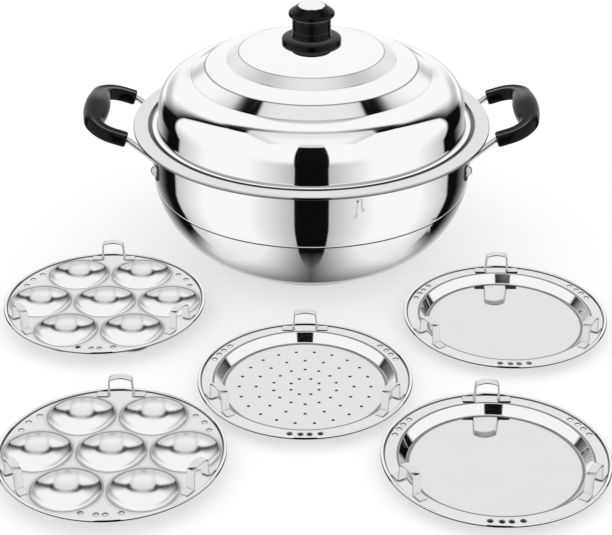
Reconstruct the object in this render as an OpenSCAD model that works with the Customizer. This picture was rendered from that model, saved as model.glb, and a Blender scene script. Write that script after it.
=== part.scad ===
// Idli steamer: a deep steel pot with a stepped lid, two idli plates, one perforated steamer plate
// and two dish plates. Millimetres, +Z up, origin at the centre of the pot's base, front towards -Y.

/* [Pot] */
// Height of the pot from its base to the top of its brim
pot_h = 134; // [120:1:160]
// Outer radius of the pot's straight wall
wall_r = 153.5; // [152:0.5:154]
// Thickness of the pot's sheet
pot_t = 1; // [0.8:0.1:1.5]
// Radius of the pot's flat underside
base_r = 61.6; // [56:0.1:66]
// Turn of the upper arc, in degrees
upper_turn = 20.5; // [15:0.5:26]
// Height of the straight wall, from the brim down to the start of the curve
straight_h = 38.1; // [36:0.1:44]
// Width of the brim outside the lid's seat
brim_w = 14.5; // [12:0.5:20]
// Radius of the rolled bead at the edge of the brim
brim_bead_r = 1.6; // [1.3:0.1:2]
// Inner radius of the brim, where the step to the lid's seat starts
seat_r = 155.5; // [155.5:0.5:158]
// Depth of the lid's seat below the brim
seat_depth = 3; // [2.5:0.5:5]

/* [Base] */
// Thickness of the steel cap pressed round the base
cap_t = 0.8; // [0.6:0.1:1.2]
// Height of the cap's upper edge above the base
cap_h = 75; // [50:1:90]
// Thickness of the aluminium core at the centre of the base
core_t = 4; // [3:0.5:6]

/* [Lid] */
// Thickness of the lid's sheet
lid_t = 1; // [0.8:0.1:1.5]
// Outer radius of the lid's wall
lid_wall_r = 145.7; // [140:0.1:148]
// Height of the lid's flat top above the brim
lid_top_h = 70.2; // [66:0.1:80]
// Radius of the flat top
lid_top_r = 68.5; // [60:0.5:72]
// Radius at the foot of the first step
step1_r = 79.5; // [76:0.5:84]
// Drop of the first step
step1_drop = 7.7; // [5:0.1:9]
// Radius of the edge of the second step
step2_r = 100; // [96:0.5:104]
// Drop between the steps
between_drop = 4.9; // [3:0.1:6]
// Radius at the foot of the second step
step2_foot_r = 111; // [106:0.5:113]
// Drop of the second step
step2_drop = 10.6; // [8:0.1:13]
// Radius of the lid's shoulder
shoulder_r = 30; // [24:1:34]
// Drop from the second step to the start of the shoulder
shoulder_drop = 2; // [1:0.1:4]
// Outer radius of the lid's flange
flange_r = 153.7; // [153.4:0.1:154.4]
// Radius of the bead at the edge of the flange
flange_bead_r = 1.2; // [1:0.1:1.4]
// Gap between the lid's flange and its seat
lid_gap = 0.3; // [0.2:0.1:0.5]

/* [Knob] */
// Radius of the ring at the foot of the knob
knob_ring_r = 19; // [18:0.5:22]
// Radius of the waist between that ring and the finger guard
knob_waist_r = 17; // [15:0.5:18]
// Radius of the finger guard
guard_r = 27.8; // [25:0.1:32]
// Height of the lower half of the knob, up to the groove of the finger guard
guard_h = 7.4; // [6.5:0.1:9]
// Height of the finger guard's upper half
guard_top_h = 7; // [5:0.5:9]
// Depth of the groove round the finger guard
groove_d = 1.4; // [1:0.1:2]
// Radius of the knob's neck
neck_r = 18; // [16:0.5:20]
// Height of the neck
neck_h = 18.4; // [14:0.1:24]
// Radius of the knob's cap
knob_cap_r = 21.8; // [21:0.1:25]
// Height of the knob's cap
knob_cap_h = 11.4; // [9:0.1:14]
// Radius of the steel disc in the knob's cap
disc_r = 12.5; // [11:0.5:14]
// Thickness of the steel disc
disc_t = 1.2; // [0.8:0.1:2]
// Radius of the screw that holds the knob
screw_r = 2.5; // [2:0.5:3]

/* [Handles] */
// Half the distance between the two legs of a handle
leg_y = 50; // [46:0.5:54]
// Distance from the brim's edge to the bend where the rod enters the grip
bend_out = 0.5; // [0.3:0.1:6]
// Height of that bend above the brim
bend_rise = 0; // [-1:0.5:4]
// Upward tilt of the grip, in degrees
grip_tilt = 18; // [12:1:24]
// Distance from the bend to the centre of the grip's outer bar
bar_u = 36; // [34:0.5:42]
// Bend radius of the rod's corners
corner_r = 17; // [15:0.5:20]
// Radius of the grip's bar
bar_r = 11; // [9:0.5:13]
// Radius of the grip at the ends of its legs
leg_r = 8.3; // [7:0.1:10]
// Radius of the rod
rod_r = 2.8; // [2.4:0.1:3.2]
// Width of the flattened pad at the end of a rod
pad_w = 15; // [12:0.5:18]
// Height of the pad
pad_h = 21; // [18:0.5:24]
// Thickness of the pad
pad_t = 2.5; // [2:0.1:3]
// Depth of the pad's centre below the brim
pad_drop = 31; // [29:0.5:36]
// Radius of a rivet's shank
rivet_r = 2.5; // [2:0.1:3]
// Radius of a rivet's head
rivet_head_r = 5.7; // [4.5:0.1:6.5]
// Height of a rivet's domed head
rivet_head_h = 4.2; // [2.5:0.1:5]

/* [Plates] */
// Outer radius of every plate
plate_r = 92; // [91:0.5:94]
// Radius of the rolled bead at a plate's edge
plate_bead_r = 1.4; // [1.1:0.1:1.8]
// Thickness of a plate's sheet
plate_t = 1; // [0.8:0.1:1.3]
// Height of an idli plate's land above the surface it stands on
plate_h = 13; // [12:0.5:18]
// Height of a dish plate's ledge above the surface it stands on
dish_h = 9.5; // [8.5:0.5:12]
// Land between the outer cavities and the plate's edge
cavity_margin = 5.5; // [5:0.1:7]
// Land between neighbouring cavities
cavity_land = 4; // [3:0.1:6]
// Width of a dish plate's ledge, with its bead
ledge_w = 14.5; // [14:0.5:16]
// How far a dish plate's wall slants in from its mouth to its floor
wall_slant = 6.5; // [4:0.5:8]
// Radius of a steam vent
vent_r = 2.2; // [1.5:0.1:2.5]
// Radius of a hole in the steamer plate
perforation_r = 1.5; // [1:0.1:2]

/* [Loops] */
// Height of a loop above the plate's land
loop_h = 19; // [17:0.5:24]
// Half the width of a loop at its foot
loop_half_w = 11; // [10:0.5:12]
// Half the width over the loop's feet
foot_half_w = 20; // [18:0.5:21]
// Width of the loop's strap
strap_w = 7.5; // [6.5:0.5:8]
// Thickness of the strap
strap_t = 1.2; // [1:0.1:1.6]
// Distance from the plate's edge in to the middle of the strap
loop_inset = 9.75; // [9:0.25:10.5]

/* [Layout] */
// Sideways place of the steamer plate in front of the pot
steamer_x = -6; // [-20:1:20]
// Gap between the steamer plate and the pot's brim, seen from above
steamer_gap = 4; // [1:1:20]
// Gap from the steamer plate to the first idli plate
idli_plate_1_gap = 39; // [30:0.5:60]
// Direction of the first idli plate from the steamer plate, in degrees
idli_plate_1_turn = 145.6; // [140:0.1:150]
// Gap from the steamer plate to the second idli plate
idli_plate_2_gap = 7.6; // [2:0.1:20]
// Direction of the second idli plate from the steamer plate, in degrees
idli_plate_2_turn = 216.5; // [212:0.1:220]
// Gap from the steamer plate to the first dish plate
dish_plate_1_gap = 27.6; // [20:0.1:60]
// Direction of the first dish plate from the steamer plate, in degrees
dish_plate_1_turn = 30.7; // [26:0.1:34]
// Gap from the steamer plate to the second dish plate
dish_plate_2_gap = 7.2; // [2:0.1:20]
// Direction of the second dish plate from the steamer plate, in degrees
dish_plate_2_turn = 322.65; // [318:0.05:326]

/* [Hidden] */
$fn = 64;

steel = "silver";
dark = [0.08, 0.08, 0.09];
fit = 0.1;
arc_step = 6;

// How far a drilled hole runs past the wall on each side
drill = 10;
// How far two parts of one piece run into each other
weld = 0.01;

brim_r = seat_r + brim_w;
bend_x = brim_r + bend_out;

// Bowl: the straight wall runs into the upper arc, then the lower arc, then the flat base
curve_h = pot_h - straight_h;
arc_diff = (base_r + curve_h - wall_r) / (sin(upper_turn) + cos(upper_turn) - 1);
lower_arc_r = curve_h - arc_diff * sin(upper_turn);
upper_arc_r = lower_arc_r + arc_diff;
upper_c = [wall_r - upper_arc_r, curve_h];
lower_c = [base_r, lower_arc_r];

// Lid heights above the base
lid_top_z = pot_h + lid_top_h;
step1_z = lid_top_z - step1_drop;
step2_z = step1_z - between_drop;
step2_foot_z = step2_z - step2_drop;
shoulder_z = step2_foot_z - shoulder_drop;
shoulder_from = 80;
shoulder_c = [lid_wall_r - shoulder_r, shoulder_z - shoulder_r * sin(shoulder_from)];
flange_z = pot_h - seat_depth + lid_gap + lid_t;
flange_fillet_r = 3;

// Knob
knob_z = lid_top_z;
knob_ring_h = 2;
lip_z = 5;
guard_slope = 0.4;
guard_round = 2;
body_z = knob_z + guard_h;
neck_z = body_z + guard_top_h;
cap_z = neck_z + neck_h;
knob_top_z = cap_z + knob_cap_h;
disc_rim = 0.8;
cap_flat_r = disc_r + disc_rim;
cap_round_r = 3.4;
cap_round_rise = 0.6;
cap_round_span = [-70, 60];
neck_groove_at = 5.5;
neck_groove_w = 1.2;
neck_groove_d = 0.8;
disc_rise = 0.4;
disc_bevel = 0.4;
insert_r = 5;
insert_l = 16;
insert_below = 2;
screw_head_r = 4.6;
screw_head_h = 3;
washer_r = 9;
washer_t = 1.2;
washer_fit = 0.2;
thread_fit = 0.05;
screw_l = 20;

// Handles
bend_z = pot_h + bend_rise;
pad_z = pot_h - pad_drop;
outer_wall_r = wall_r - cap_t;
pad_angle = asin(leg_y / (outer_wall_r + pad_t / 2));
rod_off_wall = 0.5;
stub_x = (outer_wall_r + rod_off_wall + rod_r) * cos(pad_angle);
stub_z = pad_z + pad_h / 2;
stub_overlap = 5;
bend_swell = 0.15;
grip_mouth_u = 2;
rivet_tail_h = 1.6;
tail_off_wall = 0.3;

// Plates
steamer_plate_at = [steamer_x, -(brim_r + steamer_gap + plate_r)];
idli_plate_1_at = from_steamer(idli_plate_1_gap, idli_plate_1_turn);
idli_plate_2_at = from_steamer(idli_plate_2_gap, idli_plate_2_turn);
dish_plate_1_at = from_steamer(dish_plate_1_gap, dish_plate_1_turn);
dish_plate_2_at = from_steamer(dish_plate_2_gap, dish_plate_2_turn);
cavities_across = 3;
cavity_r = (plate_r - cavity_margin - cavity_land) / cavities_across;
cavity_pitch = 2 * cavity_r + cavity_land;
cavity_foot_cut = 0.3;
cavity_depth = plate_h - plate_t + cavity_foot_cut;
cavity_sphere_r = (cavity_r * cavity_r + cavity_depth * cavity_depth) / (2 * cavity_depth);
cavity_c_z = plate_h - cavity_depth + cavity_sphere_r;
cavity_lip = 2;
ring_cavities = 6;
vent_inset = 9;
group_vent_gap = 12;
group_vent_bend = 2;
front_vent_at = [15.5, 3.5];
front_vent_bend = 0.15;
vent_at_r = plate_r - vent_inset;
dish_mouth_r = plate_r - ledge_w;
dish_floor_r = dish_mouth_r - wall_slant;
ledge_vent_at_r = plate_r - ledge_w / 2;
ledge_vent_angles = [-8.5, -2.5, 2.5, 8.5];
// Count and first angle of each ring of holes, from the middle out
perforation_rings = [[8, 22.5], [14, 0], [16, 0], [22, 8]];
inner_ring_r = 13;
outer_ring_inset = 14.5;
ring_step = (dish_floor_r - outer_ring_inset - inner_ring_r) / (len(perforation_rings) - 1);

// Loops
loop_count = 3;
loop_first_angle = 90;
loop_angle_step = 360 / loop_count;
loop_at_r = plate_r - loop_inset;
loop_top_half_w = loop_half_w - 1;
loop_crown_r = 20;
loop_crown_c = [0, loop_h - loop_crown_r];
loop_corner_r = 2;
loop_crown_turn = asin((loop_top_half_w - loop_corner_r) / (loop_crown_r - loop_corner_r));
loop_bend_r = 1.6;
loop_lean = 2;
loop_arc_step = 15;

// Centre of a plate at a gap and a direction from the steamer plate
function from_steamer(gap, turn) = steamer_plate_at + (2 * plate_r + gap) * [cos(turn), sin(turn)];

// Points along an arc from angle a0 to angle a1
function arc(c, r, a0, a1, step = arc_step) =
    let (n = max(2, ceil(abs(a1 - a0) / step)))
    [for (i = [0:n]) c + r * [cos(a0 + (a1 - a0) * i / n), sin(a0 + (a1 - a0) * i / n)]];

function unit(v) = v / norm(v);
function right_of(d) = [d[1], -d[0]];

// The path moved to its right by t, mitred at its corners
function moved(p, t) = [
    for (i = [0:len(p) - 1])
        let (
            n0 = right_of(unit(i == 0 ? p[1] - p[0] : p[i] - p[i - 1])),
            n1 = right_of(unit(i == len(p) - 1 ? p[i] - p[i - 1] : p[i + 1] - p[i]))
        )
        p[i] + (n0 + n1) * t / (1 + n0 * n1)
];

function cut_last(p) = [for (i = [0:len(p) - 2]) p[i]];

function reversed(p) = [for (i = [len(p) - 1:-1:0]) p[i]];

// Closed outline of a sheet that follows a path, with its thickness to the right
function sheet(p, t) = concat(p, reversed(moved(p, t)));

// Angle on an arc, below the horizontal, at which it passes a height
function fall(c, r, z) = asin(min(1, (c[1] - z) / r));

// Whole steps between two angles
function whole_steps(a, b) =
    [for (k = [floor(a / arc_step) + 1:1:ceil(b / arc_step) - 1]) k * arc_step];

// Points on an arc from fall f0 to fall f1, at whole steps, so that nested sheets share them
function fall_arc(c, r, f0, f1) = [
    for (f = concat([f0], whole_steps(f0, f1), [f1])) c + r * [cos(f), -sin(f)]
];

// The bowl's outline, moved out by off, from height z1 down to height z0
function bowl(off, z1, z0) =
    let (
        ru = upper_arc_r + off,
        rl = lower_arc_r + off,
        on_wall = z1 > upper_c[1],
        on_lower = z1 < upper_c[1] - ru * sin(upper_turn),
        a_upper = on_wall ? 0 : fall(upper_c, ru, z1),
        a_lower = on_lower ? fall(lower_c, rl, z1) : upper_turn
    )
    concat(
        on_wall ? [[wall_r + off, z1]] : [],
        on_lower ? [] : cut_last(fall_arc(upper_c, ru, a_upper, upper_turn)),
        fall_arc(lower_c, rl, a_lower, fall(lower_c, rl, z0))
    );

// A straight rod between two points
module bar(p, q, r) {
    d = q - p;
    translate(p)
        rotate([0, acos(d[2] / norm(d)), atan2(d[1], d[0])])
            cylinder(r = r, h = norm(d));
}

// A low dome of the given radius and height
module dome(r, h) {
    s = (r * r + h * h) / (2 * h);
    a = asin(r / s);
    rotate_extrude()
        polygon(concat([[0, 0]], arc([0, h - s], s, 90 - a, 90)));
}

// Pot

module pot_shell() {
    floor_z = cap_t + core_t;
    seat_z = pot_h - seat_depth;
    outside = -cap_t;
    inside = -cap_t - pot_t;
    bead_c = [brim_r - brim_bead_r, pot_h - brim_bead_r];
    color(steel)
    difference() {
        rotate_extrude()
            polygon(concat(
                [[0, floor_z]],
                reversed(bowl(outside, seat_z - pot_t, floor_z)),
                [[seat_r + pot_t, seat_z - pot_t], [seat_r + pot_t, pot_h - pot_t]],
                [[bead_c[0], pot_h - pot_t]],
                arc(bead_c, brim_bead_r, -90, 90),
                [[seat_r, pot_h], [seat_r, seat_z]],
                bowl(inside, seat_z, floor_z + pot_t),
                [[0, floor_z + pot_t]]
            ));
        for (side = [0, 180], turn = [-pad_angle, pad_angle])
            rotate([0, 0, side + turn])
                translate([outer_wall_r - drill, 0, pad_z])
                    rotate([0, 90, 0])
                        cylinder(r = rivet_r + fit, h = 2 * drill);
    }
}

module base_core() {
    top = cap_t + core_t;
    color("gainsboro")
    rotate_extrude()
        polygon(concat([[0, top]], bowl(-cap_t, top, cap_t), [[0, cap_t]]));
}

module base_cap() {
    core_top = cap_t + core_t;
    inside = concat(cut_last(bowl(-cap_t, cap_h, core_top)), bowl(-cap_t, core_top, cap_t));
    color(steel)
    rotate_extrude()
        polygon(concat(bowl(0, cap_h, 0), [[0, 0], [0, cap_t]], reversed(inside)));
}

// Handles

module grip_plane() {
    translate([bend_x, 0, bend_z])
        rotate([0, -grip_tilt, 0])
            children();
}

// The U of a handle in the plane of its grip, of radius r, with legs that start at u0 with radius r0
module handle_u(r, u0, r0) {
    straight_u = bar_u - corner_r;
    straight_y = leg_y - corner_r;
    for (s = [-1, 1]) {
        translate([u0, s * leg_y, 0])
            rotate([0, 90, 0])
                cylinder(r1 = r0, r2 = r, h = straight_u - u0);
        translate([straight_u, s * straight_y, 0])
            rotate([0, 0, s > 0 ? 0 : -90])
                rotate_extrude(angle = 90)
                    translate([corner_r, 0])
                        circle(r = r);
    }
    translate([bar_u, -straight_y, 0])
        rotate([-90, 0, 0])
            cylinder(r = r, h = 2 * straight_y);
}

module handle_rod() {
    color(steel)
    difference() {
        union() {
            grip_plane() handle_u(rod_r, 0, rod_r);
            for (s = [-1, 1]) {
                foot = [stub_x, s * leg_y, stub_z];
                bend = [bend_x, s * leg_y, bend_z];
                bar(foot - [0, 0, stub_overlap], foot, rod_r);
                translate(foot) sphere(r = rod_r + bend_swell);
                bar(foot, bend, rod_r);
                translate(bend) sphere(r = rod_r + bend_swell);
                rotate([0, 0, s * pad_angle])
                    translate([outer_wall_r, -pad_w / 2, pad_z - pad_h / 2])
                        cube([pad_t, pad_w, pad_h]);
            }
        }
        for (s = [-1, 1])
            rotate([0, 0, s * pad_angle])
                translate([outer_wall_r - drill, 0, pad_z])
                    rotate([0, 90, 0])
                        cylinder(r = rivet_r + fit, h = 2 * drill);
        cylinder(r = outer_wall_r, h = pot_h);
    }
}

module grip() {
    color(dark)
    grip_plane()
        difference() {
            handle_u(bar_r, grip_mouth_u, leg_r);
            handle_u(rod_r + fit, 0, rod_r + fit);
        }
}

module rivets() {
    inner_r = outer_wall_r - pot_t;
    color(steel)
    for (s = [-1, 1])
        rotate([0, 0, s * pad_angle])
            translate([0, 0, pad_z])
                rotate([0, 90, 0]) {
                    translate([0, 0, inner_r - rivet_tail_h])
                        cylinder(r = rivet_r, h = pot_t + pad_t + rivet_tail_h);
                    translate([0, 0, outer_wall_r + pad_t])
                        dome(rivet_head_r, rivet_head_h);
                    translate([0, 0, inner_r - tail_off_wall])
                        mirror([0, 0, 1])
                            dome(rivet_head_r, rivet_tail_h + tail_off_wall);
                }
}

module left_side() {
    mirror([1, 0, 0]) children();
}

module left_handle_rod() { left_side() handle_rod(); }
module left_grip() { left_side() grip(); }
module left_rivets() { left_side() rivets(); }
module right_handle_rod() { handle_rod(); }
module right_grip() { grip(); }
module right_rivets() { rivets(); }

// Lid

module lid_shell() {
    wall_end = [lid_wall_r + flange_fillet_r, flange_z + flange_fillet_r];
    bead_c = [flange_r - flange_bead_r, flange_z - lid_t + flange_bead_r];
    path = concat(
        [[screw_r + fit, lid_top_z], [lid_top_r, lid_top_z], [step1_r, step1_z]],
        [[step2_r, step2_z], [step2_foot_r, step2_foot_z]],
        arc(shoulder_c, shoulder_r, shoulder_from, 0),
        arc(wall_end, flange_fillet_r, 180, 270),
        [[bead_c[0], flange_z]]
    );
    color(steel)
    union() {
        rotate_extrude() polygon(sheet(path, lid_t));
        rotate_extrude() translate(bead_c) circle(r = flange_bead_r);
    }
}

module knob_guard() {
    bore_r = insert_r + fit;
    color(dark)
    translate([0, 0, knob_z])
        rotate_extrude()
            polygon([
                [bore_r, 0], [knob_ring_r, 0], [knob_ring_r, knob_ring_h],
                [knob_waist_r, knob_ring_h], [knob_waist_r, lip_z],
                [guard_r, lip_z], [guard_r, guard_h - groove_d / 2],
                [guard_r - groove_d, guard_h - groove_d / 2], [guard_r - groove_d, guard_h],
                [bore_r, guard_h]
            ]);
}

module knob_body() {
    edge_c = [guard_r - guard_round, guard_top_h - guard_round];
    cap_c = [knob_cap_r - cap_round_r, guard_top_h + neck_h + cap_round_r + cap_round_rise];
    groove_z = guard_top_h + neck_groove_at;
    top = knob_top_z - body_z;
    color(dark)
    translate([0, 0, body_z])
        difference() {
            rotate_extrude()
                polygon(concat(
                    [[0, 0], [guard_r - groove_d, 0], [guard_r - groove_d, groove_d / 2]],
                    [[guard_r, groove_d / 2]],
                    arc(edge_c, guard_round, 0, 90),
                    [[neck_r, guard_top_h + guard_slope]],
                    [[neck_r, groove_z], [neck_r - neck_groove_d, groove_z + neck_groove_w / 2]],
                    [[neck_r, groove_z + neck_groove_w], [neck_r, guard_top_h + neck_h]],
                    arc(cap_c, cap_round_r, cap_round_span[0], cap_round_span[1]),
                    [[cap_flat_r, top], [0, top]]
                ));
            translate([0, 0, -1])
                cylinder(r = insert_r + fit, h = 1 + insert_l - insert_below);
            translate([0, 0, top - disc_t + disc_rise])
                cylinder(r = disc_r + fit, h = disc_t + 1);
        }
}

module knob_disc() {
    base_z = knob_top_z - disc_t + disc_rise;
    color(steel)
    translate([0, 0, base_z])
        rotate_extrude()
            polygon([
                [0, 0], [disc_r, 0], [disc_r, disc_t - disc_bevel],
                [disc_r - disc_bevel, disc_t], [0, disc_t]
            ]);
}

module knob_insert() {
    bottom = body_z - insert_below;
    color("goldenrod")
    difference() {
        translate([0, 0, bottom])
            cylinder(r = insert_r, h = insert_l);
        translate([0, 0, bottom - 1])
            cylinder(r = screw_r + thread_fit, h = insert_l + 2);
    }
}

module knob_screw() {
    head_top = lid_top_z - lid_t - washer_t;
    color(steel)
    union() {
        translate([0, 0, head_top - weld])
            cylinder(r = screw_r, h = screw_l);
        translate([0, 0, head_top])
            mirror([0, 0, 1])
                dome(screw_head_r, screw_head_h);
    }
}

module knob_washer() {
    color(steel)
    translate([0, 0, lid_top_z - lid_t - washer_t])
        difference() {
            cylinder(r = washer_r, h = washer_t);
            translate([0, 0, -1])
                cylinder(r = screw_r + washer_fit, h = washer_t + 2);
        }
}

// Plates

module plate_bead(land_z) {
    rotate_extrude()
        translate([plate_r - plate_bead_r, land_z - plate_t + plate_bead_r])
            circle(r = plate_bead_r);
}

module vent(x, y, land_z) {
    translate([x, y, land_z - plate_t - 1])
        cylinder(r = vent_r, h = plate_t + 2);
}

module idli_plate() {
    centres = concat(
        [[0, 0]],
        [for (i = [0:ring_cavities - 1])
            cavity_pitch * [cos(i * 360 / ring_cavities), sin(i * 360 / ring_cavities)]]
    );
    flat_r = plate_r - plate_bead_r;
    color(steel)
    difference() {
        union() {
            translate([0, 0, plate_h - plate_t])
                cylinder(r = flat_r, h = plate_t);
            plate_bead(plate_h);
            for (c = centres)
                translate([c[0], c[1], 0])
                    intersection() {
                        translate([0, 0, cavity_c_z])
                            sphere(r = cavity_sphere_r + plate_t);
                        cylinder(r = cavity_r + cavity_lip, h = plate_h - plate_t / 2);
                    }
        }
        for (c = centres)
            translate([c[0], c[1], cavity_c_z])
                sphere(r = cavity_sphere_r);
        for (turn = [30, 150], i = [-1, 0, 1])
            rotate([0, 0, turn])
                vent(vent_at_r - abs(i) * group_vent_bend, i * group_vent_gap, plate_h);
        for (x = front_vent_at, s = [-1, 1])
            vent(s * x, x * front_vent_bend - vent_at_r, plate_h);
    }
}

module dish_form() {
    wall_foot = [dish_floor_r, 0];
    path = [
        [0, plate_t], wall_foot + [0, plate_t], [dish_mouth_r, dish_h], [plate_r - plate_bead_r, dish_h]
    ];
    union() {
        rotate_extrude() polygon(sheet(path, plate_t));
        plate_bead(dish_h);
    }
}

module ledge_vents() {
    for (turn = [30, 150, 270], a = ledge_vent_angles)
        rotate([0, 0, turn + a])
            vent(ledge_vent_at_r, 0, dish_h);
}

module dish_plate() {
    color(steel)
    difference() {
        dish_form();
        ledge_vents();
    }
}

module steamer_plate_form() {
    color(steel)
    difference() {
        dish_form();
        ledge_vents();
        for (k = [0:len(perforation_rings) - 1], i = [0:perforation_rings[k][0] - 1])
            rotate([0, 0, -90 + perforation_rings[k][1] + i * 360 / perforation_rings[k][0]])
                translate([inner_ring_r + k * ring_step, 0, -1])
                    cylinder(r = perforation_r, h = plate_t + 2);
    }
}

// Half of a loop's path, from the top of its crown down to the end of its foot
function loop_half() = concat(
    cut_last(arc(loop_crown_c, loop_crown_r, 90, 90 - loop_crown_turn)),
    arc(
        loop_crown_c + (loop_crown_r - loop_corner_r) * [sin(loop_crown_turn), cos(loop_crown_turn)],
        loop_corner_r, 90 - loop_crown_turn, loop_lean, loop_arc_step
    ),
    arc(
        [loop_half_w + loop_bend_r, strap_t + loop_bend_r],
        loop_bend_r, 180 + loop_lean, 270, loop_arc_step
    ),
    [[foot_half_w, strap_t]]
);

module loop(turn, land_z) {
    right = loop_half();
    left = cut_last(reversed([for (p = right) [-p[0], p[1]]]));
    color(steel)
    rotate([0, 0, turn])
        translate([loop_at_r + strap_w / 2, 0, land_z])
            rotate([90, 0, -90])
                linear_extrude(height = strap_w)
                    polygon(sheet(concat(left, right), strap_t));
}

module at(place) {
    translate([place[0], place[1], 0]) children();
}

module idli_loop(place, i) {
    at(place) loop(loop_first_angle + (i - 1) * loop_angle_step, plate_h);
}

module dish_loop(place, i) {
    at(place) loop(loop_first_angle + (i - 1) * loop_angle_step, dish_h);
}

module idli_plate_1() { at(idli_plate_1_at) idli_plate(); }
module idli_plate_2() { at(idli_plate_2_at) idli_plate(); }
module steamer_plate() { at(steamer_plate_at) steamer_plate_form(); }
module dish_plate_1() { at(dish_plate_1_at) dish_plate(); }
module dish_plate_2() { at(dish_plate_2_at) dish_plate(); }

pot_shell();
base_core();
base_cap();
left_handle_rod();
left_grip();
left_rivets();
right_handle_rod();
right_grip();
right_rivets();
lid_shell();
knob_guard();
knob_body();
knob_disc();
knob_insert();
knob_screw();
knob_washer();
idli_plate_1();
idli_loop(idli_plate_1_at, 1);  // idli_plate_1_loop_1
idli_loop(idli_plate_1_at, 2);  // idli_plate_1_loop_2
idli_loop(idli_plate_1_at, 3);  // idli_plate_1_loop_3
idli_plate_2();
idli_loop(idli_plate_2_at, 1);  // idli_plate_2_loop_1
idli_loop(idli_plate_2_at, 2);  // idli_plate_2_loop_2
idli_loop(idli_plate_2_at, 3);  // idli_plate_2_loop_3
steamer_plate();
dish_loop(steamer_plate_at, 1);  // steamer_plate_loop_1
dish_loop(steamer_plate_at, 2);  // steamer_plate_loop_2
dish_loop(steamer_plate_at, 3);  // steamer_plate_loop_3
dish_plate_1();
dish_loop(dish_plate_1_at, 1);  // dish_plate_1_loop_1
dish_loop(dish_plate_1_at, 2);  // dish_plate_1_loop_2
dish_loop(dish_plate_1_at, 3);  // dish_plate_1_loop_3
dish_plate_2();
dish_loop(dish_plate_2_at, 1);  // dish_plate_2_loop_1
dish_loop(dish_plate_2_at, 2);  // dish_plate_2_loop_2
dish_loop(dish_plate_2_at, 3);  // dish_plate_2_loop_3
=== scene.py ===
import math

import bmesh
import bpy
from mathutils import Matrix, Vector
from mathutils.geometry import delaunay_2d_cdt

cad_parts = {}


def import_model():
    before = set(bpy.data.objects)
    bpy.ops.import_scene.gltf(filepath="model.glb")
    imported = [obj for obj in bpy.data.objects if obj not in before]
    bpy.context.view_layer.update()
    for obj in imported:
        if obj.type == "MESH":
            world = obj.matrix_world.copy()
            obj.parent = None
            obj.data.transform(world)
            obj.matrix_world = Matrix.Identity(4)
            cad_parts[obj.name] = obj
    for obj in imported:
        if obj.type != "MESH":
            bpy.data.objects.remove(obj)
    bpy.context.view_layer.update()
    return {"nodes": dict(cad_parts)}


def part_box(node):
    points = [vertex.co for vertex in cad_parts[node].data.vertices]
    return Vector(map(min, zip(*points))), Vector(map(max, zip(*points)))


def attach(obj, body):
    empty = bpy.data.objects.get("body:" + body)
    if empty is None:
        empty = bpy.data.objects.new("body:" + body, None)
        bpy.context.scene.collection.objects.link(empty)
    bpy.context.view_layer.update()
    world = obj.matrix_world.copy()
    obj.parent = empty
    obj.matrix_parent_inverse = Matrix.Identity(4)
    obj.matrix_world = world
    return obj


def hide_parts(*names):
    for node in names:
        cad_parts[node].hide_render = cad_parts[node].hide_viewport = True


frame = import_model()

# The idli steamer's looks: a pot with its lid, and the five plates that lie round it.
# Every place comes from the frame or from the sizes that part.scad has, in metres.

# Units and fineness
MM = 0.001
TURNS = 240
CAVITY_TURNS = 72
HOLE_TURNS = 20
SHARP = math.radians(38)

# Heights and centres that the frame gives
POT_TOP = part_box("pot_shell")[1].z
SEAM_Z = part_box("base_cap")[1].z
LID_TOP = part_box("knob_guard")[0].z
KNOB_SPLIT_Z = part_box("knob_guard")[1].z
KNOB_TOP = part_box("knob_body")[1].z
PLATES = ["idli_plate_1", "idli_plate_2", "steamer_plate", "dish_plate_1", "dish_plate_2"]


def centre_of(node):
    """Middle of a node's box, seen from above."""
    low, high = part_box(node)
    return Vector(((low.x + high.x) / 2, (low.y + high.y) / 2))


# Outlines: points are (radius, height)

def arc(c, r, a0, a1, step=5):
    """Points on an arc, angles in degrees."""
    n = max(2, math.ceil(abs(a1 - a0) / step))
    turn = [math.radians(a0 + (a1 - a0) * i / n) for i in range(n + 1)]
    return [(c[0] + r * math.cos(a), c[1] + r * math.sin(a)) for a in turn]


def rounded(points, step=9):
    """A line through (r, z, fillet) points, with its corners rounded to their fillets."""
    line = []
    for i, (x, z, fillet) in enumerate(points):
        here = Vector((x, z))
        if fillet == 0 or i in (0, len(points) - 1):
            line.append((x, z))
            continue
        back = (Vector(points[i - 1][:2]) - here).normalized()
        on = (Vector(points[i + 1][:2]) - here).normalized()
        half = back.angle(on) / 2
        reach = fillet / math.tan(half)
        middle = here + (back + on).normalized() * (fillet / math.sin(half))
        start, end = here + back * reach - middle, here + on * reach - middle
        turn = start.angle_signed(end)
        n = max(2, math.ceil(abs(math.degrees(turn)) / step))
        for k in range(n + 1):
            p = middle + Matrix.Rotation(-turn * k / n, 2) @ start
            line.append((p.x, p.y))
    return line


def moved(line, t):
    """The line moved to its right by t."""
    out = []
    for i, p in enumerate(line):
        a, b = Vector(line[max(i - 1, 0)]), Vector(line[min(i + 1, len(line) - 1)])
        here = Vector(p)
        d0 = (here - a).normalized() if i > 0 else (b - here).normalized()
        d1 = (b - here).normalized() if i < len(line) - 1 else d0
        n0, n1 = Vector((d0.y, -d0.x)), Vector((d1.y, -d1.x))
        out.append(tuple(here + (n0 + n1) * t / (1 + n0.dot(n1))))
    return out


# Meshes

def circle(c, r, z, n):
    """Points of a circle, from the +X side."""
    turn = [2 * math.pi * k / n for k in range(n)]
    return [(c[0] + r * math.cos(a), c[1] + r * math.sin(a), z) for a in turn]


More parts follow.
